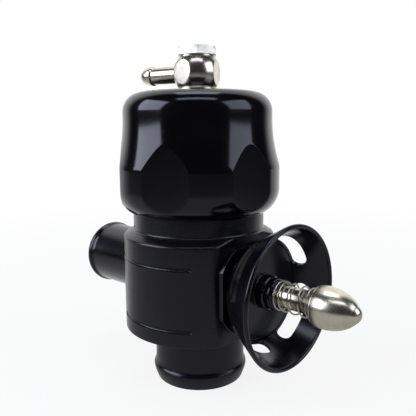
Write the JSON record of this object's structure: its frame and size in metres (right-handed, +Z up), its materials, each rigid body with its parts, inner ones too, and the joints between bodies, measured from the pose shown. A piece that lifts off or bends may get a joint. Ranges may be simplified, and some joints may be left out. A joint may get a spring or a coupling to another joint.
{
  "type": "blow off valve",
  "caption": "Turbo blow-off valve with a screw cap, spring-loaded piston, hose tails for inlet and outlet, a sprung trumpet vent and a banjo hose union on top.",
  "frame": {"origin": "middle of the inlet hose tail's end face, on the piston's axis", "axes": "+Z up the piston's axis towards the cap, +X out of the trumpet, -X out of the outlet hose tail"},
  "size_m": [0.1248, 0.0598, 0.1227],
  "materials": {
    "gloss_black": "gloss black anodised",
    "satin_black": "satin black anodised",
    "nickel": "polished nickel plate",
    "spring_steel": "drawn wire",
    "washer_metal": "turned",
    "bare_aluminium": "turned",
    "seal_rubber": "matt",
    "guide_plastic": "matt"
  },
  "bodies": {
    "body": {"valve_body": "satin_black", "inlet_spigot": "satin_black", "inlet_oring": "seal_rubber", "outlet_spigot": "satin_black", "outlet_oring": "seal_rubber", "cap_oring": "seal_rubber", "trumpet": "gloss_black", "trumpet_oring": "seal_rubber", "stem": "nickel", "stem_nut": "spring_steel", "spring_washer": "nickel", "bullet": "nickel", "vent_spring": "spring_steel", "main_spring": "spring_steel"},
    "piston": {"piston": "bare_aluminium", "seat_seal": "seal_rubber", "piston_ring": "guide_plastic", "piston_oring": "seal_rubber"},
    "spring_seat": {"spring_seat": "bare_aluminium"},
    "cap": {"cap": "gloss_black", "low_washer": "washer_metal", "banjo_eye": "nickel", "top_washer": "washer_metal", "banjo_bolt": "nickel"},
    "vent_disc": {"vent_disc": "gloss_black", "disc_seal": "seal_rubber"}
  },
  "joints": [
    {"name": "piston_lift", "type": "slide", "parent": "body", "child": "piston", "axis": [0, 0, 1], "range_m": [0, 0.014], "stiffness_N_per_m": 2500, "springref_m": -0.01, "deforming": ["main_spring"]},
    {"name": "vent_lift", "type": "slide", "parent": "body", "child": "vent_disc", "axis": [1, 0, 0], "range_m": [0, 0.005], "stiffness_N_per_m": 400, "springref_m": -0.004, "deforming": ["vent_spring"]},
    {"name": "cap_travel", "type": "slide", "parent": "body", "child": "spring_seat", "axis": [0, 0, 1], "range_m": [-0.0031, 0.0031], "deforming": ["main_spring"]},
    {"name": "cap_turn", "type": "hinge", "parent": "spring_seat", "child": "cap", "pos_m": [0, 0, 0.085], "axis": [0, 0, 1], "range_deg": [-720, 720], "deforming": ["main_spring"]}
  ],
  "couplings": [
    {"joint": "cap_travel", "follows": "cap_turn", "m_per_rad": 0.00023873}
  ]
}
